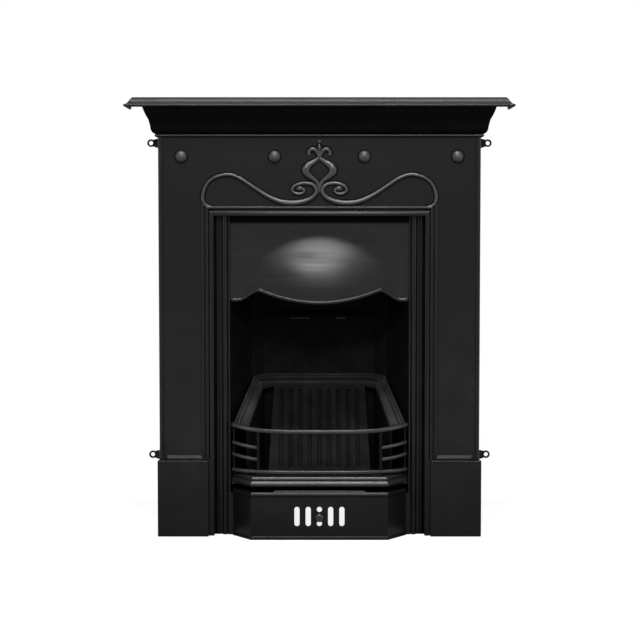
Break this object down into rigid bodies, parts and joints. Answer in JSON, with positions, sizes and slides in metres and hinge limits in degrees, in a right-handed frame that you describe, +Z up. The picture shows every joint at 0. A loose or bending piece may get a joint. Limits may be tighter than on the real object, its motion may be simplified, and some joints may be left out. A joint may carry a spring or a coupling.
{
  "type": "cast iron fireplace",
  "caption": "Cast iron combination fireplace: moulded shelf, relief surround on plinths, domed hood, sloping fire basket with lift-out bars and grate, ash cover and a hinged throat damper.",
  "frame": {"origin": "Centre of the bounding box on the floor plane: middle of the width, middle of the whole depth from the tip of the ash cover's knob to the damper's hinge behind, at floor level.", "axes": "+Z up. The front of the fireplace faces -Y and the chimney is towards +Y. X runs along the shelf. The wall plane that the surround stands against is Y = -14.82 mm."},
  "size_m": [0.944, 0.3036, 1.073],
  "materials": {
    "polished_casting": "satin graphite polish over sand cast iron",
    "firebox_casting": "matt stove black over sand cast iron",
    "basket_casting": "satin graphite polish, slightly brighter on the edges",
    "fasteners": "blackened steel"
  },
  "bodies": {
    "fireplace": {"mantel_shelf": "polished_casting", "cornice": "polished_casting", "surround": "polished_casting", "left_plinth": "polished_casting", "right_plinth": "polished_casting", "wall_lugs": "polished_casting", "lug_screws": "fasteners", "shelf_bolts": "fasteners", "cornice_bolts": "fasteners", "cornice_nuts": "fasteners", "plinth_bolts": "fasteners", "insert_frame": "polished_casting", "insert_bolts": "fasteners", "hood": "polished_casting", "hood_clips": "polished_casting", "hood_bolts": "fasteners", "left_cheek": "firebox_casting", "right_cheek": "firebox_casting", "cheek_bolts": "fasteners", "fire_back": "firebox_casting", "back_bolts": "fasteners", "back_nuts": "fasteners", "throat_plate": "firebox_casting", "throat_bolts": "fasteners", "damper_pin": "fasteners", "base_plate": "basket_casting", "base_bolts": "fasteners", "hopper": "basket_casting", "hopper_bolts": "fasteners", "fluted_plate": "basket_casting"},
    "flap": {"damper_flap": "firebox_casting"},
    "grate": {"bottom_grate": "basket_casting"},
    "bars": {"front_bars": "basket_casting"},
    "cover": {"ash_cover": "basket_casting", "cover_knob": "basket_casting", "knob_screw": "fasteners"}
  },
  "joints": [
    {"name": "damper_hinge", "type": "hinge", "parent": "fireplace", "child": "flap", "pos_m": [0, 0.14432, 0.54076], "axis": [-1, 0, 0], "range_deg": [0, 60]},
    {"name": "grate_lift", "type": "slide", "parent": "fireplace", "child": "grate", "axis": [0, 0, 1], "range_m": [0, 0.1]},
    {"name": "bars_lift", "type": "slide", "parent": "fireplace", "child": "bars", "axis": [0, 0, 1], "range_m": [0, 0.12]},
    {"name": "cover_pull", "type": "slide", "parent": "fireplace", "child": "cover", "axis": [0, -1, 0], "range_m": [0, 0.15]}
  ]
}
